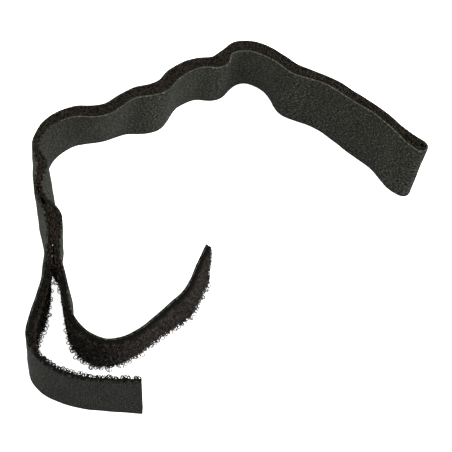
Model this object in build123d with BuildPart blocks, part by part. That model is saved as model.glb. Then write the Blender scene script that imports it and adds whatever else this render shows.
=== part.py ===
"""Self-gripping wrist strap, folded double, standing on one long edge.

One length of woven hook-and-loop tape is folded back on itself, pile to pile.
From the fold to the split the two plies are mated into one wavy band; past the
split they are peeled apart into a front tail and a rear tail.  The tape stands
on its edge on a table, so its width is the height of every piece and all its
bends are about upright axes.

Frame: millimetres, +Z up, the table at Z = 0, the origin in the middle of the
strap's plan outline, +X towards the fold, -Y towards the tails.

The tape bends anywhere along its length.  Here it is cut into stiff stretches
joined by upright hinges: each stretch ends in a round knuckle, and the next
one starts with the hollow that rolls round it.
"""
import os
from math import atan2, degrees, hypot

from build123d import *

os.makedirs("parts", exist_ok=True)

# The tape
TAPE_WIDTH = 20.0
BACKING = 0.6           # woven ground cloth
PILE = 1.2              # loops of one ply, pressed into the other ply's
FREE_PILE = 1.0         # solid part of the loops where the plies are apart
KNUCKLE_GAP = 0.15      # running gap between a knuckle and its hollow

PLY = BACKING + PILE
FREE_PLY = BACKING + FREE_PILE
TAIL_SIDE = PLY - FREE_PLY / 2      # from the band's middle to a tail's middle

# Routes, seen from above: x, y and the radius of the bend at that point.
# The band runs from the fold to the split, with the front ply on its left.
BAND = [
    (50.1, 22.9, 0),
    (45.1, 26.3, 36),
    (37.6, 33.0, 55),
    (26.1, 40.7, 28),
    (16.9, 43.3, 14),
    (9.2, 49.6, 19),
    (2.6, 52.5, 5.2),
    (-2.0, 50.0, 7.5),
    (-4.6, 45.2, 5.2),
    (-11.7, 44.0, 11),
    (-16.7, 39.6, 18),
    (-20.2, 33.4, 9.5),
    (-28.8, 30.0, 22),
    (-34.2, 25.9, 13),
    (-42.0, 24.4, 11.5),
    (-49.6, 18.2, 7),
    (-50.3, 11.4, 15),
    (-48.7, 5.6, 35),
    (-48.0, -0.6, 16),
    (-45.0, -6.8, 55),
    (-42.6, -12.0, 12),
    (-42.6, -17.5, 0),
]
SPLIT_X, SPLIT_Y, _ = BAND[-1]
FRONT_TAIL = [
    (SPLIT_X + TAIL_SIDE, SPLIT_Y, 0),
    (SPLIT_X + TAIL_SIDE, -19.6, 3),
    (-37.7, -25.4, 20),
    (-35.6, -33.0, 34),
    (-31.9, -40.0, 10.5),
    (-25.7, -43.2, 6),
    (-19.9, -40.4, 16),
    (-6.0, -25.2, 20),
    (-2.5, -12.9, 0),
]
REAR_TAIL = [
    (SPLIT_X - TAIL_SIDE, SPLIT_Y, 0),
    (SPLIT_X - TAIL_SIDE, -24.0, 60),
    (-44.4, -37.0, 50),
    (-44.0, -45.2, 9.5),
    (-39.0, -50.8, 11),
    (-28.4, -53.2, 22),
    (-14.3, -52.2, 0),
]

# Hinges: the route's run that each one sits on, and how far along it
CREST_RUN, CREST_SHARE = 4, 0.5
ELBOW_RUN, ELBOW_SHARE = 14, 0.5
FRONT_BEND_RUN, FRONT_BEND_SHARE = 6, 0.27
REAR_BEND_RUN, REAR_BEND_SHARE = 4, 0.5


def unit(start, end):
    """Direction from one route point to the next."""
    dx, dy = end[0] - start[0], end[1] - start[1]
    length = hypot(dx, dy)
    return dx / length, dy / length


def cut_route(route, run, share):
    """Cut a route on one of its straight runs, into the part before and after."""
    (x0, y0, _), (x1, y1, _) = route[run], route[run + 1]
    place = (x0 + share * (x1 - x0), y0 + share * (y1 - y0), 0)
    return route[:run + 1] + [place], [place] + route[run + 1:]


def beside(route, distance):
    """The parallel of a route, to its left by a distance: corner points and radii."""
    ways = [unit(start, end) for start, end in zip(route, route[1:])]
    points, radii = [], []
    for (x, y, _), (ax, ay), (bx, by) in zip(route, ways[:1] + ways, ways + ways[-1:]):
        mitre = distance / (1 + ax * bx + ay * by)
        points.append((x - mitre * (ay + by), y + mitre * (ax + bx)))
    for (_, _, radius), (ax, ay), (bx, by) in zip(route[1:], ways, ways[1:]):
        turns_left = ax * by - ay * bx > 0
        radii.append(radius - distance if turns_left else radius + distance)
    return points, radii


def write(part, name):
    """Label a finished piece and write its STEP file."""
    part.label = name
    export_step(part, f"parts/{name}.step")


def knuckle_trim(route, pin):
    """What a knuckle leaves off the end of a stretch: all past the axis but the round."""
    way = unit(route[-2], route[-1])
    side, radius = pin
    axis = (route[-1][0] - way[1] * side, route[-1][1] + way[0] * side)
    with BuildSketch(Plane(origin=(*axis, 0), x_dir=(*way, 0))) as trim:
        with Locations((2 * radius, 0)):
            Rectangle(4 * radius, 6 * radius)
        Circle(radius, mode=Mode.SUBTRACT)
    return trim.sketch


def layer(name, route, left, right, hollow=None, knuckle=None):
    """One layer of one stretch, between two distances to the left of its route.

    hollow and knuckle are (distance to the left, radius) of a hinge at the
    route's start and end.
    """
    line, trim = route, None
    if knuckle:
        trim = knuckle_trim(route, knuckle)
        way = unit(route[-2], route[-1])
        reach = knuckle[1]
        line = route[:-1] + [(route[-1][0] + reach * way[0], route[-1][1] + reach * way[1], 0)]
    left_points, left_radii = beside(line, left)
    right_points, right_radii = beside(line, right)
    start = unit(route[0], route[1])

    with BuildPart() as piece:
        with BuildSketch():
            with BuildLine():
                left_edge = FilletPolyline(*left_points, radius=left_radii)
                right_edge = FilletPolyline(*right_points, radius=right_radii)
                Line(left_edge @ 0, right_edge @ 0)
                Line(left_edge @ 1, right_edge @ 1)
            make_face()
            if hollow:
                side, radius = hollow
                with Locations((route[0][0] - start[1] * side, route[0][1] + start[0] * side)):
                    Circle(radius + KNUCKLE_GAP, mode=Mode.SUBTRACT)
            if trim:
                add(trim, mode=Mode.SUBTRACT)
        extrude(amount=TAPE_WIDTH)
    write(piece.part, name)


def fold():
    """The tape's turn at the far end: a half ring of backing round a half disc of pile."""
    way = unit(BAND[0], BAND[1])
    turn_plane = Plane(origin=(BAND[0][0], BAND[0][1], 0), x_dir=(*way, 0))
    with BuildPart() as backing:
        with BuildSketch(turn_plane):
            Circle(PLY)
            Circle(PILE, mode=Mode.SUBTRACT)
            with Locations((PLY, 0)):
                Rectangle(2 * PLY, 4 * PLY, mode=Mode.SUBTRACT)
        extrude(amount=TAPE_WIDTH)
    write(backing.part, "fold_backing")

    with BuildPart() as pile:
        with BuildSketch(turn_plane):
            Circle(PILE)
            with Locations((PILE, 0)):
                Rectangle(2 * PILE, 4 * PILE, mode=Mode.SUBTRACT)
        extrude(amount=TAPE_WIDTH)
    write(pile.part, "fold_pile")


def band_stretch(name, route, hollow=None, knuckles=None):
    """Four layers of mated tape: backing, pile, pile, backing."""
    front_knuckle, rear_knuckle = knuckles or (None, None)
    layer(f"{name}_front_backing", route, PLY, PILE, hollow, front_knuckle)
    layer(f"{name}_front_pile", route, PILE, 0, hollow, front_knuckle)
    layer(f"{name}_rear_pile", route, 0, -PILE, hollow, rear_knuckle)
    layer(f"{name}_rear_backing", route, -PILE, -PLY, hollow, rear_knuckle)


def tail_stretch(name, route, backing_side, knuckle=None):
    """Two layers of free tape; backing_side is 1 for backing on the left, -1 on the right."""
    pin = (0, FREE_PLY / 2)
    outer = backing_side * FREE_PLY / 2
    inner = outer - backing_side * BACKING
    layer(f"{name}_backing", route, max(outer, inner), min(outer, inner), pin, knuckle)
    layer(f"{name}_pile", route, max(inner, -outer), min(inner, -outer), pin, knuckle)


def tail(name, route, backing_side, run, share):
    """A peeled tail: the stretch next to the split and the stretch with the cut end."""
    near, far = cut_route(route, run, share)
    tail_stretch(f"{name}_near", near, backing_side, (0, FREE_PLY / 2))
    tail_stretch(f"{name}_end", far, backing_side)
    print(name, "bend axis", [round(value, 3) for value in far[0][:2]],
          "heading", round(degrees(atan2(*reversed(unit(far[0], far[1])))), 1))


arm_route, rest = cut_route(BAND, CREST_RUN, CREST_SHARE)
middle_route, wrist_route = cut_route(rest, ELBOW_RUN - CREST_RUN, ELBOW_SHARE)
print("crest axis", middle_route[0][:2], "elbow axis", wrist_route[0][:2])
print("peel axes", FRONT_TAIL[0][:2], REAR_TAIL[0][:2])

band_pin = (0, PLY)
fold()
band_stretch("arm", arm_route, knuckles=(band_pin, band_pin))
band_stretch("middle", middle_route, band_pin, (band_pin, band_pin))
band_stretch("wrist", wrist_route, band_pin,
             ((TAIL_SIDE, FREE_PLY / 2), (-TAIL_SIDE, FREE_PLY / 2)))
tail("front_tail", FRONT_TAIL, 1, FRONT_BEND_RUN, FRONT_BEND_SHARE)
tail("rear_tail", REAR_TAIL, -1, REAR_BEND_RUN, REAR_BEND_SHARE)
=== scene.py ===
"""A wrist strap of curly-piled tape, standing on its edge: one tape folded in two, pile against pile.

The tape runs from the front tail's cut end, along the front ply, round the fold at the right, and back
along the rear ply to the rear tail's cut end. A place on it is given by distances in millimetres: along
it from that first end, across it from its lower edge, and out from its mid-surface, where the backing is
on the positive side and the pile on the negative side.
"""

import math

import bpy
import numpy as np
from mathutils import Matrix, Vector


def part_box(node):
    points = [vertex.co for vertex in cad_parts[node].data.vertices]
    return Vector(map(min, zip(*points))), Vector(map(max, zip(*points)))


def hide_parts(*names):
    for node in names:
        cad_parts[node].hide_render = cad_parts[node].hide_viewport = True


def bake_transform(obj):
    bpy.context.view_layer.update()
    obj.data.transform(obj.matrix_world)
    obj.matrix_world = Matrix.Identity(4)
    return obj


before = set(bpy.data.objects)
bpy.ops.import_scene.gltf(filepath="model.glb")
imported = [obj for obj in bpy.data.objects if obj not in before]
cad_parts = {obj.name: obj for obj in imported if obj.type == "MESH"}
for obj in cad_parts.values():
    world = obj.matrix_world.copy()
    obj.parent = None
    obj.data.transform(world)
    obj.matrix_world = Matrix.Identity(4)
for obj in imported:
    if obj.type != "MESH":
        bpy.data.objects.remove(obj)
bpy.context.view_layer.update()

MM = 0.001
RANDOM = np.random.default_rng(20)

# The tape, with its sizes in millimetres
lowest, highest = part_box("middle_front_backing")
WIDTH = (highest.z - lowest.z) / MM
BACKING = 0.6
PLY = 1.8
BACKING_FACE = PLY / 2
PILE_ROOT = BACKING_FACE - BACKING
# How high the mid-surface's lower edge stands, and the least height of any point
LIFT = 0.12
LEAST_HEIGHT = 0.04

# Rows of the route: top edge x and y, bottom edge x and y, in the CAD frame. The band's rows are of the
# two plies' shared middle, from the fold to where the plies part. Each tail's rows are of its own middle,
# from there on.
BAND = [
    (51.2, 23.8, 49.5, 21.4),
    (47.7, 26.2, 45.8, 23.3),
    (43.4, 29.8, 42.1, 27.6),
    (38.1, 34.0, 36.7, 31.9),
    (32.2, 37.4, 30.8, 36.4),
    (26.4, 40.9, 25.4, 40.0),
    (19.6, 43.2, 18.6, 42.5),
    (15.0, 44.9, 14.0, 44.3),
    (10.8, 47.6, 10.7, 49.3),
    (5.5, 50.2, 6.0, 53.0),
    (1.9, 50.6, 2.2, 53.8),
    (-1.0, 49.8, -1.4, 52.5),
    (-3.4, 47.0, -4.2, 48.7),
    (-5.8, 44.2, -7.0, 46.6),
    (-9.7, 43.3, -11.0, 46.2),
    (-14.0, 41.4, -15.7, 43.7),
    (-17.6, 37.8, -19.0, 39.6),
    (-19.8, 34.0, -21.1, 34.8),
    (-22.8, 32.3, -23.7, 33.0),
    (-27.1, 30.8, -28.7, 32.0),
    (-30.2, 28.1, -31.8, 30.9),
    (-33.1, 25.0, -35.2, 28.9),
    (-36.8, 23.3, -38.7, 27.7),
    (-40.8, 22.8, -42.8, 26.4),
    (-45.0, 20.9, -47.2, 23.1),
    (-48.3, 17.6, -50.2, 18.8),
    (-49.7, 13.5, -51.2, 14.6),
    (-49.7, 10.3, -50.6, 11.0),
    (-48.3, 6.9, -49.4, 7.6),
    (-47.5, 3.6, -48.2, 3.7),
    (-47.6, -0.1, -47.1, -0.2),
    (-46.2, -4.5, -45.9, -4.7),
    (-43.5, -8.2, -44.4, -8.8),
    (-42.0, -11.8, -43.8, -12.0),
    (-41.7, -15.3, -43.9, -15.3),
    (-41.5, -17.5, -43.9, -17.5),
]
FRONT_TAIL = [
    (-40.5, -17.5, -41.9, -17.5),
    (-40.1, -20.4, -39.3, -20.2),
    (-38.4, -25.6, -36.9, -25.4),
    (-36.5, -31.1, -35.7, -31.1),
    (-35.0, -36.0, -34.2, -36.1),
    (-31.4, -40.9, -30.7, -40.1),
    (-26.1, -43.5, -25.8, -41.2),
    (-21.0, -42.7, -20.0, -38.6),
    (-16.4, -39.5, -15.5, -33.9),
    (-9.6, -31.7, -9.5, -28.0),
    (-6.1, -27.0, -6.2, -24.7),
    (-4.4, -21.3, -4.2, -20.5),
    (-2.1, -13.8, -2.2, -13.4),
]
REAR_TAIL = [
    (-42.6, -17.5, -44.8, -17.5),
    (-42.2, -23.0, -43.6, -23.0),
    (-42.1, -29.0, -43.1, -29.0),
    (-42.8, -34.4, -43.8, -34.9),
    (-43.5, -40.0, -44.8, -40.3),
    (-43.4, -44.2, -44.0, -43.9),
    (-41.6, -47.8, -42.6, -47.5),
    (-38.9, -50.4, -40.0, -50.1),
    (-34.3, -52.6, -35.3, -52.0),
    (-28.0, -53.7, -28.5, -53.0),
    (-21.0, -53.4, -21.3, -52.9),
    (-14.6, -52.6, -14.2, -52.6),
]
# How much farther out than half a ply the pressed plies stand: the distance along the band from the fold,
# then the front ply's top and bottom edges, then the rear ply's.
SPREAD = [
    (0.0, 0.4, 0.4, 0.4, 0.4),
    (5.0, -0.1, -0.1, 0.1, 0.0),
    (9.0, -0.4, -0.2, 0.0, 0.0),
    (16.0, -0.4, 0.1, 0.0, 0.0),
    (36.0, -0.3, 0.1, 0.1, 0.0),
    (41.0, 0.2, 0.1, 0.1, 0.0),
    (46.0, -0.2, -0.1, 0.2, 0.0),
    (52.0, 0.1, 0.0, 0.2, 0.0),
    (61.0, 0.0, 0.2, 0.1, 0.0),
    (64.5, -0.6, 0.1, 0.0, 0.0),
    (67.0, 1.1, 0.4, 0.4, 0.0),
    (71.0, -0.1, 0.2, 0.1, 0.0),
    (80.0, 0.6, 0.0, 0.0, 0.0),
    (89.0, 0.6, 0.4, 0.4, 0.0),
    (97.0, 0.2, 0.1, -0.3, 0.0),
    (107.0, 0.0, 0.2, 0.5, 0.0),
    (117.0, -0.2, 0.2, 0.0, 0.0),
    (125.0, -1.2, 0.5, 0.0, 0.2),
    (129.5, -1.8, 1.2, 0.1, 0.1),
    (134.5, -0.4, 1.2, 0.1, 0.3),
    (141.0, -1.4, 1.2, 0.0, 0.4),
    (146.5, -1.0, 1.3, 0.1, 0.3),
    (151.5, 0.4, 1.4, 0.8, 0.4),
    (155.0, 0.0, 1.3, 0.3, 0.2),
    (161.0, 0.0, 1.0, 0.0, 0.0),
]
# The step between the tape's rows, how far along it its corners are smoothed, and the number of rows
# round the fold's end
TABLE_STEP = 0.25
EASING = 0.6
FOLD_ROWS = 16

# The backing's mesh: its step along, its columns, and its unevenness as two waves, each with its height,
# its length along for each radian, its slant and its phase
CLOTH_STEP = 0.5
CLOTH_COLUMNS = 26
UNEVEN = ((0.035, 2.3, 0.4, 0), (0.03, 0.9, -0.7, 2))
# How far every slab's edges wander up and down, in two waves
WANDER = (0.07, 0.05)

# The pile's ground: its mesh and how its edges are rounded and set in, how deep it stands where it is free
# and at its bare top edge, how wide that edge is, how rough it is, and how far it goes into the backing
GROUND_STEP = 0.4
GROUND_COLUMNS = 40
GROUND_ROUNDING = 0.3
GROUND_MARGIN = 0.3
GROUND = 0.95
BARE_GROUND = 0.2
BARE_TOP = 1.2
ROUGHNESS = 0.08
GROUND_SINK = 0.05

# The pile is pressed where the plies are close, and comes apart from these gaps up, at the bottom edge and
# at the top edge. Farther than BAND_FROM into the band, the gap that it takes is PARTED_MORE wider. The
# pile is wholly free at PARTING more than that gap.
PARTED_LOW = 2.0
PARTED_TOP = 2.6
PARTED_MORE = 0.8
BAND_FROM = 2.0
PARTING = 1.6
# Pressed pile fills half the gap and a little more, between these depths, and less round the fold's end
OVERLAP = 0.15
FILL = (0.4, 2.8)
HOLLOW = 0.6
HOLLOW_REACH = 5.0
# Half the slit where the piles don't meet and its shift towards the rear ply, where it starts and ends from
# the fork along the top edge, and how much farther from the fork it runs for each millimetre down
SLIT = 0.3
SLIT_SHIFT = 0.15
SLIT_START = 9.5
SLIT_END = 17.0
SLIT_SLOPE = 0.58

# Yarn rings: pitch, yarn thickness, least and greatest radius, height over width, sides, and shade. The
# field's rings cover the free pile, and the edges' rings stand out along its edges.
ROW_PITCH = 0.95
YARN = 0.23
RING = (0.3, 0.4)
RING_HEIGHT = (0.9, 1.2)
RING_SEGMENTS = 8
FREE_SHADE = 0.75
EDGE_PITCH = 1.1
EDGE_YARN = 0.27
EDGE_RING = (0.42, 0.54)
LOW_EDGE_HEIGHT = (1.0, 1.7)
TOP_EDGE_HEIGHT = (0.8, 1.3)
EDGE_SEGMENTS = 10
# The edges' rings are darker than the field's: painted shade where they stand against the bright floor
EDGE_PAINTED_SHADE = 0.3
# Small rings at the edges of the pressed pile, in layers out from the backing
FUZZ_PITCH = 0.55
FUZZ_YARN = 0.19
FUZZ_RING = (0.22, 0.38)
FUZZ_SEGMENTS = 6
FUZZ_EDGE = 0.45
FUZZ_LAYER = 0.35
FUZZ_SWAY = 0.8
# Half the angle that a ring is left open at its root, how much it twists and curls either way, how far its
# root is sunk, and how much of a pitch its place strays
OPEN_ANGLE = 0.45
TWIST = 0.35
CURL = 0.25
RING_SINK = 0.1
STRAY = 0.45
# How far rings keep from the tape's cut ends, from its edges, and the rows of them from its top edge
END_MARGIN = 0.6
EDGE_MARGIN = 0.1
TOP_MARGIN = 0.5

# Painted highlight: the front ply's top edge is pale from the fold to this far from it, and the highlight
# fades over the next distance
HIGHLIGHT_REACH = 122.0
HIGHLIGHT_FADE = 6.0

# The view, in degrees and millimetres
TARGET = (1.6, 4.0, 0.0)
ELEVATION = 60.0
ROLL = 6.3
DISTANCE = 394.0
SENSOR = 36.0
LENS = 114.85


# ---------------------------------------------------------------- the tape's route


def spline_through(rows):
    """Rows every TABLE_STEP along the natural cubic spline through these rows."""
    knots = np.array(rows, float)
    count = len(knots)
    middle = (knots[:, :2] + knots[:, 2:]) / 2
    at = np.concatenate([[0], np.cumsum(np.hypot(*np.diff(middle, axis=0).T))])
    gap = np.diff(at)
    matrix = np.eye(count)
    wanted = np.zeros_like(knots)
    for i in range(1, count - 1):
        matrix[i, i - 1 : i + 2] = gap[i - 1], 2 * (gap[i - 1] + gap[i]), gap[i]
        wanted[i] = 6 * ((knots[i + 1] - knots[i]) / gap[i] - (knots[i] - knots[i - 1]) / gap[i - 1])
    bend = np.linalg.solve(matrix, wanted)
    where = np.linspace(0, at[-1], round(at[-1] / TABLE_STEP) + 1)
    k = np.clip(np.searchsorted(at, where, side="right") - 1, 0, count - 2)
    g = gap[k][:, None]
    after = (where - at[k])[:, None]
    before = g - after
    curved = (bend[k] * before**3 + bend[k + 1] * after**3) / (6 * g)
    from_last = (knots[k] / g - bend[k] * g / 6) * before
    from_next = (knots[k + 1] / g - bend[k + 1] * g / 6) * after
    return curved + from_last + from_next


def unit(vectors):
    """The vectors, each made 1 long."""
    return vectors / np.linalg.norm(vectors, axis=-1, keepdims=True)


def leftward(rows):
    """The two unit vectors that point to the left of the route, at its top edge and at its bottom edge."""
    ways = np.gradient(rows, axis=0)
    top, bottom = unit(ways[:, :2]), unit(ways[:, 2:])
    return np.stack([-top[:, 1], top[:, 0], -bottom[:, 1], bottom[:, 0]], axis=1)


def tape_table():
    """The whole tape's rows at an even TABLE_STEP, from the front tail's cut end to the rear tail's."""
    band = spline_through(BAND)
    left = leftward(band)
    spread = np.array(SPREAD)
    from_fold = np.arange(len(band)) * TABLE_STEP
    edges = [PLY / 2 + np.interp(from_fold, spread[:, 0], column) for column in spread[:, 1:].T]
    front = np.stack([edges[i] for i in (0, 0, 1, 1)], axis=1)
    rear = np.stack([edges[i] for i in (2, 2, 3, 3)], axis=1)
    beyond = np.stack([left[0, 1], -left[0, 0], left[0, 3], -left[0, 2]]) * -1
    turn = np.linspace(0, math.pi, FOLD_ROWS + 2)[1:-1, None]
    bight = band[0] + front[0] * (np.cos(turn) * left[0] + np.sin(turn) * beyond)
    rows = np.concatenate([
        spline_through(FRONT_TAIL)[:0:-1],
        (band + front * left)[::-1],
        bight,
        band - rear * left,
        spline_through(REAR_TAIL)[1:],
    ])
    rows = even(rows)
    reach = round(3 * EASING / TABLE_STEP)
    weight = np.exp(-0.5 * (np.arange(-reach, reach + 1) * TABLE_STEP / EASING) ** 2)
    padded = np.pad(rows, ((reach, reach), (0, 0)), mode="reflect", reflect_type="odd")
    eased = [np.convolve(column, weight / weight.sum(), mode="valid") for column in padded.T]
    return even(np.stack(eased, axis=1))


def even(rows):
    """The rows again, evenly spaced along their middle."""
    middle = (rows[:, :2] + rows[:, 2:]) / 2
    at = np.concatenate([[0], np.cumsum(np.hypot(*np.diff(middle, axis=0).T))])
    where = np.linspace(0, at[-1], round(at[-1] / TABLE_STEP) + 1)
    return np.stack([np.interp(where, at, column) for column in rows.T], axis=1)


TAPE = tape_table()
TAPE_WAYS = np.gradient(TAPE, axis=0)
TAPE_AT = np.arange(len(TAPE)) * TABLE_STEP
LENGTH = TAPE_AT[-1]


def looked_up(table, along):
    """The table's rows at places along the tape."""
    return np.stack([np.interp(along, TAPE_AT, column) for column in table.T], axis=-1)


def surface(along, across):
    """Points on the tape's mid-surface, and the unit vectors out, along the tape and up it."""
    row, way = looked_up(TAPE, along), looked_up(TAPE_WAYS, along)
    share = (across / WIDTH)[..., None]
    lean = row[..., :2] - row[..., 2:]
    height = np.sqrt(WIDTH**2 - (lean**2).sum(-1, keepdims=True))
    up = np.concatenate([lean, height], -1) / WIDTH
    flat_way = way[..., 2:] + share * (way[..., :2] - way[..., 2:])
    forward = unit(np.concatenate([flat_way, np.zeros_like(height)], -1))
    outward = unit(np.cross(forward, up))
    place = np.concatenate([row[..., 2:] + share * lean, LIFT + share * height], -1)
    return place, outward, forward, up


def nearest_along(x, y, low, high):
    """The place along the tape, between low and high, whose middle is nearest to a point."""
    middle = (TAPE[:, :2] + TAPE[:, 2:]) / 2
    far = np.hypot(middle[:, 0] - x, middle[:, 1] - y)
    far[(TAPE_AT < low) | (TAPE_AT > high)] = np.inf
    return TAPE_AT[far.argmin()]


# ---------------------------------------------------------------- meshes


def mesh_object(name, points, faces, along, across, shade, material):
    """A smooth mesh of points in millimetres, with the attribute place: along, across and shade."""
    mesh = bpy.data.meshes.new(name)
    points = np.array(points, float)
    points[:, 2] = np.maximum(points[:, 2], LEAST_HEIGHT)
    mesh.from_pydata((points * MM).tolist(), [], faces.tolist())
    mesh.polygons.foreach_set("use_smooth", np.ones(len(mesh.polygons), bool))
    place = mesh.attributes.new("place", "FLOAT_VECTOR", "POINT")
    place.data.foreach_set("vector", np.stack([along, across, shade], axis=1).astype(np.float32).ravel())
    mesh.materials.append(material)
    mesh.validate()
    piece = bpy.data.objects.new(name, mesh)
    bpy.context.scene.collection.objects.link(piece)
    return piece


def slab(name, along, across, outer, inner, material):
    """A closed slab of one layer of the tape.

    along has one place for each section and across one for each column. outer and inner are the two faces'
    distances out, one row for each section.
    """
    sections, columns = outer.shape
    a = np.repeat(along, 2 * columns)
    ring_across = np.tile(np.concatenate([across, across[::-1]]), sections)
    ring_out = np.concatenate([outer, inner[:, ::-1]], axis=1).ravel()
    wander = WANDER[0] * np.sin(a / 3.1 + 1) + WANDER[1] * np.sin(a / 1.3 + ring_across)
    ring_edge = np.clip(np.abs(ring_across / WIDTH * 2 - 1), 0, 1) ** 12
    place, outward, _, up = surface(a, ring_across)
    points = place + outward * ring_out[:, None] + up * (wander * ring_edge)[:, None]
    ring = 2 * columns
    i = np.arange(sections - 1)[:, None] * ring
    j = np.arange(ring)[None, :]
    nxt = (j + 1) % ring
    sides = np.stack([i + j, i + ring + j, i + ring + nxt, i + nxt], axis=-1).reshape(-1, 4)
    k = np.arange(columns - 1)
    cap = np.stack([k, k + 1, ring - 2 - k, ring - 1 - k], axis=1)
    last = cap[:, ::-1] + (sections - 1) * ring
    # Painted highlight: its share along the front ply up to the fold, kept as the third part of place
    painted_highlight = np.clip((a - FOLD + HIGHLIGHT_REACH) / HIGHLIGHT_FADE, 0, 1) * (a < FOLD)
    return mesh_object(name, points, np.concatenate([sides, cap, last]), a, ring_across, painted_highlight, material)


def columns_across(rounding, margin, count):
    """Places across the tape, close together at its rounded edges, and the slab's share of its thickness."""
    turn = np.radians([12, 35, 60, 90])
    edge = rounding * (1 - np.cos(turn))
    face = np.linspace(rounding, WIDTH - 2 * margin - rounding, count)[1:-1]
    across = margin + np.concatenate([edge, face, (WIDTH - 2 * margin - edge)[::-1]])
    thick = np.concatenate([np.sin(turn), np.ones(len(face)), np.sin(turn)[::-1]])
    return across, thick


def rings(along, across, root, radius, tall, yarn, facing, twist, curl, segments):
    """Rings of yarn that stand on the tape.

    Each starts from its place at the distance out of root, and rises in the direction of facing, which is
    along the tape, up it and into the pile. It is tall times as high as wide, its plane is turned by twist
    from the tape's length, and curl moves its two ends apart.
    """
    place, outward, forward, up = surface(along, across)
    rise = unit(facing[:, :1] * forward + facing[:, 1:2] * up - facing[:, 2:] * outward)
    side = np.cos(twist)[:, None] * forward + np.sin(twist)[:, None] * up
    side = unit(side - (side * rise).sum(1, keepdims=True) * rise)
    through = np.cross(rise, side)
    rise, side, through = rise[:, None, :], side[:, None, :], through[:, None, :]
    angle = np.linspace(OPEN_ANGLE, 2 * math.pi - OPEN_ANGLE, segments + 1)[None, :, None]
    r = radius[:, None, None]
    centre = (place + outward * root[:, None])[:, None, :] + rise * r * tall * math.cos(OPEN_ANGLE)
    drift = curl[:, None, None] * (angle / math.pi - 1)
    line = centre - r * tall * np.cos(angle) * rise + r * np.sin(angle) * side + drift * through
    way = unit(np.gradient(line, axis=1))
    first = unit(np.cross(way, side * np.cos(angle) + rise * np.sin(angle)) + 1e-6)
    second = np.cross(way, first)
    corners = np.arange(3) * 2 * math.pi / 3
    ring_points = [line + yarn / 2 * (math.cos(c) * first + math.sin(c) * second) for c in corners]
    points = np.stack(ring_points, axis=2)
    count = len(along)
    each = 3 * (segments + 1)
    k = np.arange(segments)[:, None] * 3
    j = np.arange(3)[None, :]
    nxt = (j + 1) % 3
    quad = np.stack([k + j, k + 3 + j, k + 3 + nxt, k + nxt], axis=-1).reshape(-1, 4)
    faces = (np.arange(count)[:, None, None] * each + quad[None]).reshape(-1, 4)
    shade = np.repeat(RANDOM.random(count), each)
    return points.reshape(-1, 3), faces, np.repeat(along, each), np.repeat(across, each), shade


# ---------------------------------------------------------------- materials

CLOTH_DARK = (0.0012, 0.0013, 0.0009, 1)
CLOTH_MIDDLE = (0.0132, 0.0136, 0.0106, 1)
CLOTH_LIGHT = (0.052, 0.054, 0.043, 1)
# Painted highlight, added along the top edge, from the first of these distances below it to the second
HIGHLIGHT_COLOUR = (0.024, 0.025, 0.022)
HIGHLIGHT_LINE = (0.13, 0.05)
# The ribs' part of the cloth's pattern
RIB_SHARE = 0.08
# Painted shade: the rear tail's backing darkens by this much, between this far from the fork and this far
# from the end
REAR_PAINTED_SHADE = -0.26
REAR_FADE = 20


def nodes_of(name):
    """A new material's node tree, its shader, and a function that adds and sets a node."""
    material = bpy.data.materials.new(name)
    material.use_nodes = True
    tree = material.node_tree
    shader = tree.nodes["Principled BSDF"]

    def add(kind, inputs=(), **settings):
        node = tree.nodes.new(kind)
        for key, value in settings.items():
            setattr(node, key, value)
        for key, value in dict(inputs).items():
            if isinstance(value, bpy.types.NodeSocket):
                tree.links.new(value, node.inputs[key])
            else:
                node.inputs[key].default_value = value
        return node

    return material, tree, shader, add


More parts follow.
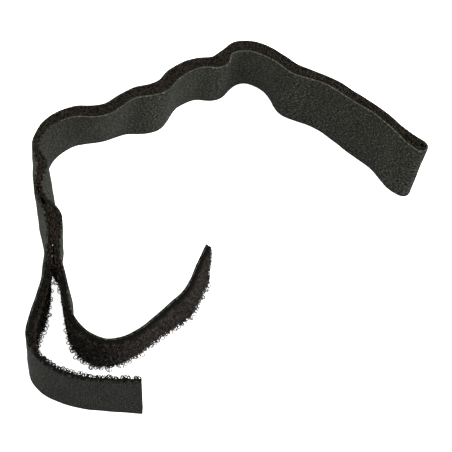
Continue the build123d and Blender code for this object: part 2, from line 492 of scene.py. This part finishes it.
def cloth_material():
    """Charcoal knitted backing: light flecks, faint ribs, painted shade along the lower edge and on the rear
    tail, and a painted highlight along the top edge.
    """
    material, tree, shader, add = nodes_of("strap_backing")
    place = add("ShaderNodeAttribute", attribute_name="place")
    split = add("ShaderNodeSeparateXYZ", {0: place.outputs["Vector"]})
    flat = add("ShaderNodeCombineXYZ", {0: split.outputs[0], 1: split.outputs[1]})
    slanted = add(
        "ShaderNodeMapping",
        {"Vector": flat.outputs[0], "Rotation": (0, 0, 0.2), "Scale": (0.9, 1.35, 1)},
    )
    flecks = add(
        "ShaderNodeTexNoise",
        {"Vector": slanted.outputs[0], "Scale": 1.7, "Detail": 2.0, "Roughness": 0.7},
    )
    wales = add(
        "ShaderNodeTexWave",
        {"Vector": flat.outputs[0], "Scale": 0.5, "Distortion": 4.0, "Detail": 2.0, "Detail Scale": 2.2},
        bands_direction="X",
    )
    courses = add(
        "ShaderNodeTexWave",
        {"Vector": flat.outputs[0], "Scale": 0.42, "Distortion": 2.0, "Detail": 2.0, "Detail Scale": 2.6},
        bands_direction="Y",
    )
    patches = add("ShaderNodeTexNoise", {"Vector": flat.outputs[0], "Scale": 0.16, "Detail": 2.0})
    knit = add("ShaderNodeMath", {0: wales.outputs["Fac"], 1: courses.outputs["Fac"]}, operation="MULTIPLY")
    speck = add("ShaderNodeMapRange", {0: flecks.outputs["Fac"], 1: 0.38, 2: 0.66})
    both = add(
        "ShaderNodeMath",
        {0: knit.outputs[0], 1: RIB_SHARE, 2: speck.outputs[0]},
        operation="MULTIPLY_ADD",
    )
    # Painted shade, darkening the rear tail's backing towards its cut end
    rear_painted_shade = add(
        "ShaderNodeMapRange",
        {0: split.outputs[0], 1: REAR_SPLIT + REAR_FADE, 2: LENGTH - REAR_FADE, 3: 0.0, 4: REAR_PAINTED_SHADE},
    )
    share = add(
        "ShaderNodeMath",
        {0: both.outputs[0], 1: 0.9, 2: rear_painted_shade.outputs[0]},
        operation="MULTIPLY_ADD",
    )
    ramp = add("ShaderNodeValToRGB", {0: share.outputs[0]})
    ramp.color_ramp.elements[0].color = CLOTH_DARK
    ramp.color_ramp.elements[1].color = CLOTH_LIGHT
    ramp.color_ramp.elements.new(0.5).color = CLOTH_MIDDLE
    worn = add("ShaderNodeMapRange", {0: patches.outputs["Fac"], 1: 0.3, 2: 0.7, 3: 0.85, 4: 1.15})
    # Painted shade: the cloth darkens towards its lower edge, next to the floor
    floor_shade = add("ShaderNodeMapRange", {0: split.outputs[1], 1: 0.15, 2: 0.9, 3: 0.5, 4: 1.0})
    # Painted highlight: a pale line along the top edge, where the front ply carries it
    highlight_rim = add("ShaderNodeMapRange", {0: split.outputs[1], 1: WIDTH - HIGHLIGHT_LINE[0], 2: WIDTH - HIGHLIGHT_LINE[1]})
    painted_highlight = add("ShaderNodeMath", {0: highlight_rim.outputs[0], 1: split.outputs[2]}, operation="MULTIPLY")
    # Random worn patches times the painted shade at the lower edge
    wear_and_shade = add("ShaderNodeMath", {0: worn.outputs[0], 1: floor_shade.outputs[0]}, operation="MULTIPLY")
    colour = add("ShaderNodeVectorMath", {0: ramp.outputs[0], "Scale": wear_and_shade.outputs[0]}, operation="SCALE")
    highlighted = add(
        "ShaderNodeVectorMath",
        {0: HIGHLIGHT_COLOUR, 1: painted_highlight.outputs[0], 2: colour.outputs[0]},
        operation="MULTIPLY_ADD",
    )
    bump = add("ShaderNodeBump", {"Height": both.outputs[0], "Distance": 0.00008, "Strength": 0.7})
    rough = add("ShaderNodeMapRange", {0: knit.outputs[0], 3: 0.95, 4: 0.72})
    tree.links.new(highlighted.outputs[0], shader.inputs["Base Color"])
    tree.links.new(bump.outputs[0], shader.inputs["Normal"])
    tree.links.new(rough.outputs[0], shader.inputs["Roughness"])
    shader.inputs["Specular IOR Level"].default_value = 0.04
    shader.inputs["Sheen Weight"].default_value = 0.006
    shader.inputs["Sheen Roughness"].default_value = 0.4
    return material


def pile_material(name, dark, light, roughness, specular):
    """Brown-black yarn, each ring a little lighter or darker than the next by its shade."""
    material, tree, shader, add = nodes_of(name)
    place = add("ShaderNodeAttribute", attribute_name="place")
    grain = add("ShaderNodeTexNoise", {"Vector": place.outputs["Vector"], "Scale": 1.7, "Detail": 3.0})
    split = add("ShaderNodeSeparateXYZ", {0: place.outputs["Vector"]})
    mixed = add("ShaderNodeMath", {0: grain.outputs["Fac"], 1: split.outputs[2]}, operation="MULTIPLY")
    ramp = add("ShaderNodeValToRGB", {0: mixed.outputs[0]})
    ramp.color_ramp.elements[0].color = (*dark, 1)
    ramp.color_ramp.elements[1].color = (*light, 1)
    bump = add("ShaderNodeBump", {"Height": grain.outputs["Fac"], "Distance": 0.0001, "Strength": 0.6})
    rough = add("ShaderNodeMapRange", {0: grain.outputs["Fac"], 3: roughness, 4: roughness - 0.15})
    tree.links.new(ramp.outputs[0], shader.inputs["Base Color"])
    tree.links.new(bump.outputs[0], shader.inputs["Normal"])
    tree.links.new(rough.outputs[0], shader.inputs["Roughness"])
    shader.inputs["Specular IOR Level"].default_value = specular
    return material


# ---------------------------------------------------------------- the tape's stretches

FRONT_SPLIT = len(spline_through(FRONT_TAIL)) * TABLE_STEP
REAR_SPLIT = LENGTH - len(spline_through(REAR_TAIL)) * TABLE_STEP
FOLD = (FRONT_SPLIT + REAR_SPLIT) / 2
# Rows within this distance along the tape are of the same ply, and the widest gap that is told apart
OWN_PLY = 8.0
WIDEST_GAP = 20


def opposite_gap():
    """How far each row's top and bottom edges are from the tape's other ply."""
    own_reach = np.minimum(np.abs(TAPE_AT - FOLD), OWN_PLY)
    own = np.abs(TAPE_AT[:, None] - TAPE_AT[None, :]) < own_reach[:, None]
    gaps = []
    for x, y in ((0, 1), (2, 3)):
        far = np.hypot(TAPE[:, None, x] - TAPE[None, :, x], TAPE[:, None, y] - TAPE[None, :, y])
        gaps.append(np.where(own, np.inf, far).min(axis=1).clip(0, WIDEST_GAP))
    return np.stack(gaps, axis=1)


GAPS = opposite_gap()


def gap_at(along, across):
    """The distance to the other ply at places on the tape."""
    both = looked_up(GAPS, along)
    return both[..., 1] + across / WIDTH * (both[..., 0] - both[..., 1])


def into_band(along):
    """How far places on the tape are from the fork, along the band. It is below 0 on the two tails."""
    return np.minimum(along - FRONT_SPLIT, REAR_SPLIT - along)


def slit_at(along, across):
    """Where the plies' piles don't meet: past the fork, and in a short slit in the band."""
    ahead = into_band(along) - SLIT_SLOPE * (WIDTH - across)
    return (ahead < 0) | ((ahead > SLIT_START) & (ahead < SLIT_END))


def openness(along, across):
    """0 where the plies are pressed together, and 1 where they stand clear of each other."""
    in_band = np.where(into_band(along) > BAND_FROM, PARTED_MORE, 0.0)
    parted = PARTED_LOW + (PARTED_TOP - PARTED_LOW) * across / WIDTH + in_band
    return np.clip((gap_at(along, across) - parted) / PARTING, 0, 1)


def pile_depth(along, across):
    """How deep the pile stands: to the other ply's pile where it is pressed, or its own depth where free."""
    slit = np.where(slit_at(along, across), SLIT, -OVERLAP)
    shifted = (slit > 0) & (into_band(along) > 0)
    shift = np.where(shifted, SLIT_SHIFT, 0.0) * np.where(along < FOLD, 1, -1)
    hollow = HOLLOW * np.exp(-(((along - FOLD) / HOLLOW_REACH) ** 2))
    filled = PILE_ROOT + gap_at(along, across) / 2 - slit + shift
    filled = np.clip(filled - hollow, *FILL)
    clear = openness(along, across)
    bare = np.clip(across - (WIDTH - BARE_TOP), 0, 1) * (along > FOLD)
    return filled * (1 - clear) + (GROUND - (GROUND - BARE_GROUND) * bare) * clear


def add_cloth(name, start, end, material):
    """The backing of a stretch, with a slightly uneven outer face."""
    along = np.linspace(start, end, max(3, round((end - start) / CLOTH_STEP)) + 1)
    across, thick = columns_across(BACKING / 2, 0.0, CLOTH_COLUMNS)
    a, v = np.meshgrid(along, across, indexing="ij")
    waves = [height * np.sin(a / length + slant * v + phase) for height, length, slant, phase in UNEVEN]
    uneven = sum(waves)
    middle = BACKING_FACE - BACKING / 2
    outer = middle + (BACKING / 2 + uneven) * thick
    inner = np.tile(middle - BACKING / 2 * thick, (len(along), 1))
    return slab(name, along, across, outer, inner, material)


def add_ground(name, start, end, material):
    """The pile's ground on a stretch, which the rings stand on."""
    along = np.linspace(start, end, max(3, round((end - start) / GROUND_STEP)) + 1)
    across, thick = columns_across(GROUND_ROUNDING, GROUND_MARGIN, GROUND_COLUMNS)
    depth = pile_depth(*np.meshgrid(along, across, indexing="ij"))
    rough = RANDOM.uniform(-ROUGHNESS, ROUGHNESS, depth.shape)
    outer = np.full(depth.shape, PILE_ROOT + GROUND_SINK)
    inner = PILE_ROOT - (depth + rough) * (0.3 + 0.7 * thick)
    return slab(name, along, across, outer, inner, material)


def rows_of_rings(start, end, low, high, pitch):
    """Jittered places in rows along and across a stretch of the tape."""
    rows, columns = np.arange(start, end, pitch), np.arange(low, high, pitch)
    along, across = np.meshgrid(rows, columns, indexing="ij")
    along = along.ravel() + RANDOM.uniform(-STRAY, STRAY, along.size) * pitch
    across = across.ravel() + RANDOM.uniform(-STRAY, STRAY, across.size) * pitch
    along = along.clip(max(start, END_MARGIN), min(end, LENGTH - END_MARGIN))
    return along, across.clip(EDGE_MARGIN, WIDTH - EDGE_MARGIN)


def ring_row(along, across, lean, sway, radius, height, yarn, segments, shade):
    """Rings at these places that lean up the tape by about lean, and by sway either way."""
    count = along.size
    aslant = RANDOM.normal(0, sway, count)
    upward = lean + RANDOM.normal(0, sway, count)
    facing = np.stack([aslant, upward, np.ones(count)], axis=1)
    root = PILE_ROOT - pile_depth(along, across) + RING_SINK
    tall = RANDOM.uniform(*height, (count, 1, 1))
    twist = RANDOM.normal(0, TWIST, count)
    curl = RANDOM.uniform(-CURL, CURL, count)
    radii = RANDOM.uniform(*radius, count)
    made = rings(along, across, root, radii, tall, yarn, facing, twist, curl, segments)
    return *made[:4], made[4] * shade


def fuzz_row(along, edge, lean, depth):
    """Small rings that stand up or down out of the pile at an edge of the pressed plies."""
    count = along.size
    across = edge + RANDOM.uniform(-0.1, 0.1, count)
    aslant = RANDOM.normal(0, FUZZ_SWAY, count)
    inward = RANDOM.normal(0, FUZZ_SWAY, count)
    facing = np.stack([aslant, np.full(count, lean), inward], axis=1)
    root = PILE_ROOT - depth - RANDOM.uniform(0, 0.3, count)
    twist = RANDOM.uniform(0, math.pi, count)
    curl = RANDOM.uniform(-CURL, CURL, count)
    tall = np.ones((count, 1, 1))
    radii = RANDOM.uniform(*FUZZ_RING, count)
    return rings(along, across, root, radii, tall, FUZZ_YARN, facing, twist, curl, FUZZ_SEGMENTS)


def add_rings(name, start, end, material):
    """All the yarn rings of a stretch: its free pile, that pile's edges, and the pressed pile's edges."""
    parts = []
    # Rings across from a distance to a distance: pitch, lean, sway, radius, height, yarn, segments, shade
    field_top = WIDTH - TOP_MARGIN - (BARE_TOP - TOP_MARGIN) * (start > FOLD)
    strips = [
        (0.4, field_top, ROW_PITCH, 0.0, 0.3, RING, RING_HEIGHT, YARN, RING_SEGMENTS, FREE_SHADE),
        (0.2, 0.8, EDGE_PITCH, -0.2, 0.25, EDGE_RING, LOW_EDGE_HEIGHT, EDGE_YARN, EDGE_SEGMENTS, EDGE_PAINTED_SHADE),
    ]
    if start > FOLD:
        top_edge = (WIDTH - 1.7, WIDTH - TOP_MARGIN, EDGE_PITCH, 0.3, 0.25)
        strips.append((*top_edge, EDGE_RING, TOP_EDGE_HEIGHT, EDGE_YARN, EDGE_SEGMENTS, EDGE_PAINTED_SHADE))
    for low, high, pitch, *shape in strips:
        along, across = rows_of_rings(start, end, low, high, pitch)
        free = RANDOM.random(along.size) < openness(along, across)
        if free.any():
            parts.append(ring_row(along[free], across[free], *shape))
    for edge, lean in ((FUZZ_EDGE, -1.0), (WIDTH - FUZZ_EDGE, 1.0)):
        for depth in np.arange(0, FILL[1], FUZZ_LAYER):
            along = np.arange(start, end, FUZZ_PITCH)
            along = (along + RANDOM.uniform(-0.25, 0.25, along.size)).clip(start, end)
            reach = pile_depth(along, edge) + np.where(slit_at(along, edge), -OVERLAP, OVERLAP)
            closed = (RANDOM.random(along.size) > openness(along, edge)) & (depth < reach)
            if closed.any():
                parts.append(fuzz_row(along[closed], edge, lean, depth))
    bases = np.cumsum([0] + [len(part[0]) for part in parts])
    faces = np.concatenate([part[1] + base for part, base in zip(parts, bases)])
    points, along, across, shade = [np.concatenate([part[i] for part in parts]) for i in (0, 2, 3, 4)]
    return mesh_object(name, points, faces, along, across, shade, material)


# Where the stretches meet, each nearest to a point of the CAD frame
FRONT_TIP_END = nearest_along(-34.0, -36.5, 0, FRONT_SPLIT)
FRONT_ARM = nearest_along(-46.0, 0.5, FRONT_SPLIT, FOLD)
FRONT_MIDDLE = nearest_along(-19.0, 38.0, FRONT_SPLIT, FOLD)
REAR_MIDDLE = nearest_along(-20.0, 39.0, FOLD, REAR_SPLIT)
REAR_ARM = nearest_along(-49.0, 0.5, FOLD, REAR_SPLIT)
REAR_TIP_START = nearest_along(-44.3, -37.0, REAR_SPLIT, LENGTH)
# Each stretch crosses one joint: its name, its start and end, the two bodies, where the bend between them
# starts and ends (CAD x and y), and the CAD pieces that it stands for, less the endings _backing and _pile.
STRETCHES = [
    ("front_tip", 0, FRONT_TIP_END, "front_tail", "front_tail_tip", (-23.5, -42.0), (-9.5, -29.0),
     ["front_tail_end"]),
    ("front_peel", FRONT_TIP_END, FRONT_ARM, "wrist_arm", "front_tail", (-42.5, -11.0), (-41.0, -25.0),
     ["front_tail_near", "wrist_front"]),
    ("front_middle", FRONT_ARM, FRONT_MIDDLE, "band_middle", "wrist_arm", (-39.0, 28.0), (-50.0, 12.0),
     ["middle_front"]),
    ("fold", FRONT_MIDDLE, REAR_MIDDLE, "band_middle", "fold_arm", (5.0, 50.0), (21.0, 43.0),
     ["fold", "arm_front", "arm_rear"]),
    ("rear_middle", REAR_MIDDLE, REAR_ARM, "band_middle", "wrist_arm", (-39.0, 28.0), (-50.0, 12.0),
     ["middle_rear"]),
    ("rear_peel", REAR_ARM, REAR_TIP_START, "wrist_arm", "rear_tail", (-42.5, -11.0), (-44.0, -25.0),
     ["wrist_rear", "rear_tail_near"]),
    ("rear_tip", REAR_TIP_START, LENGTH, "rear_tail", "rear_tail_tip", (-41.5, -49.5), (-25.5, -53.5),
     ["rear_tail_end"]),
]

backing = cloth_material()
ground = pile_material("strap_pile_ground", (0.0022, 0.0017, 0.0012), (0.011, 0.0086, 0.006), 0.95, 0.06)
yarn = pile_material("strap_pile_yarn", (0.005, 0.0038, 0.0027), (0.060, 0.047, 0.034), 0.6, 0.07)

for name, start, end, first, second, bend_from, bend_to, stands_for in STRETCHES:
    cloth = add_cloth(name + "_cloth", start, end, backing)
    base = add_ground(name + "_pile_ground", start, end, ground)
    loops = add_rings(name + "_pile_loops", start, end, yarn)
    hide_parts(*[node + "_backing" for node in stands_for])
    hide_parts(*[node + "_pile" for node in stands_for])
    for piece, slot in ((cloth, "backing"), (base, "pile"), (loops, "pile")):
        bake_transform(piece)


# ---------------------------------------------------------------- floor, light and camera


def add_floor():
    """A white floor 3 m square."""
    mesh = bpy.data.meshes.new("floor")
    half = 1.5
    corners = [(-half, -half, 0), (half, -half, 0), (half, half, 0), (-half, half, 0)]
    mesh.from_pydata(corners, [], [(0, 1, 2, 3)])
    floor = bpy.data.objects.new("floor", mesh)
    bpy.context.scene.collection.objects.link(floor)
    material, _, shader, _ = nodes_of("floor_white")
    shader.inputs["Base Color"].default_value = (0.9, 0.9, 0.9, 1)
    shader.inputs["Emission Color"].default_value = (1, 1, 1, 1)
    shader.inputs["Emission Strength"].default_value = 0.92
    shader.inputs["Roughness"].default_value = 0.9
    shader.inputs["Specular IOR Level"].default_value = 0.0
    mesh.materials.append(material)


def add_light(name, place, size, power):
    """A round lamp at a place in metres that faces the origin."""
    light = bpy.data.lights.new(name, "AREA")
    light.shape = "DISK"
    light.size = size
    light.energy = power
    lamp = bpy.data.objects.new(name, light)
    lamp.location = place
    lamp.rotation_mode = "QUATERNION"
    lamp.rotation_quaternion = (-Vector(place)).to_track_quat("-Z", "Y")
    bpy.context.scene.collection.objects.link(lamp)


def add_camera():
    """Looks along +Y and down at the target, turned by the roll."""
    tilt, roll = math.radians(ELEVATION), math.radians(ROLL)
    forward = Vector((0, math.cos(tilt), -math.sin(tilt)))
    level = Vector((1, 0, 0))
    upright = level.cross(forward)
    right = math.cos(roll) * level + math.sin(roll) * upright
    top = -math.sin(roll) * level + math.cos(roll) * upright
    camera = bpy.data.objects.new("camera", bpy.data.cameras.new("camera"))
    camera.data.sensor_width = SENSOR
    camera.data.lens = LENS
    camera.data.clip_start = 0.01
    place = Vector(TARGET) * MM - forward * DISTANCE * MM
    camera.matrix_world = Matrix.Translation(place) @ Matrix((right, top, -forward)).transposed().to_4x4()
    bpy.context.scene.collection.objects.link(camera)
    bpy.context.scene.camera = camera


add_floor()
add_light("key", (0.45, 0.0, 0.42), 0.3, 5.2)
add_light("fill", (-0.35, -0.2, 0.45), 0.4, 1.0)
add_camera()
scene = bpy.context.scene
scene.view_settings.view_transform = "Standard"
scene.world = bpy.data.worlds.new("studio")
scene.world.use_nodes = True
sky = scene.world.node_tree.nodes["Background"]
sky.inputs["Color"].default_value = (1, 1, 1, 1)
sky.inputs["Strength"].default_value = 1.18
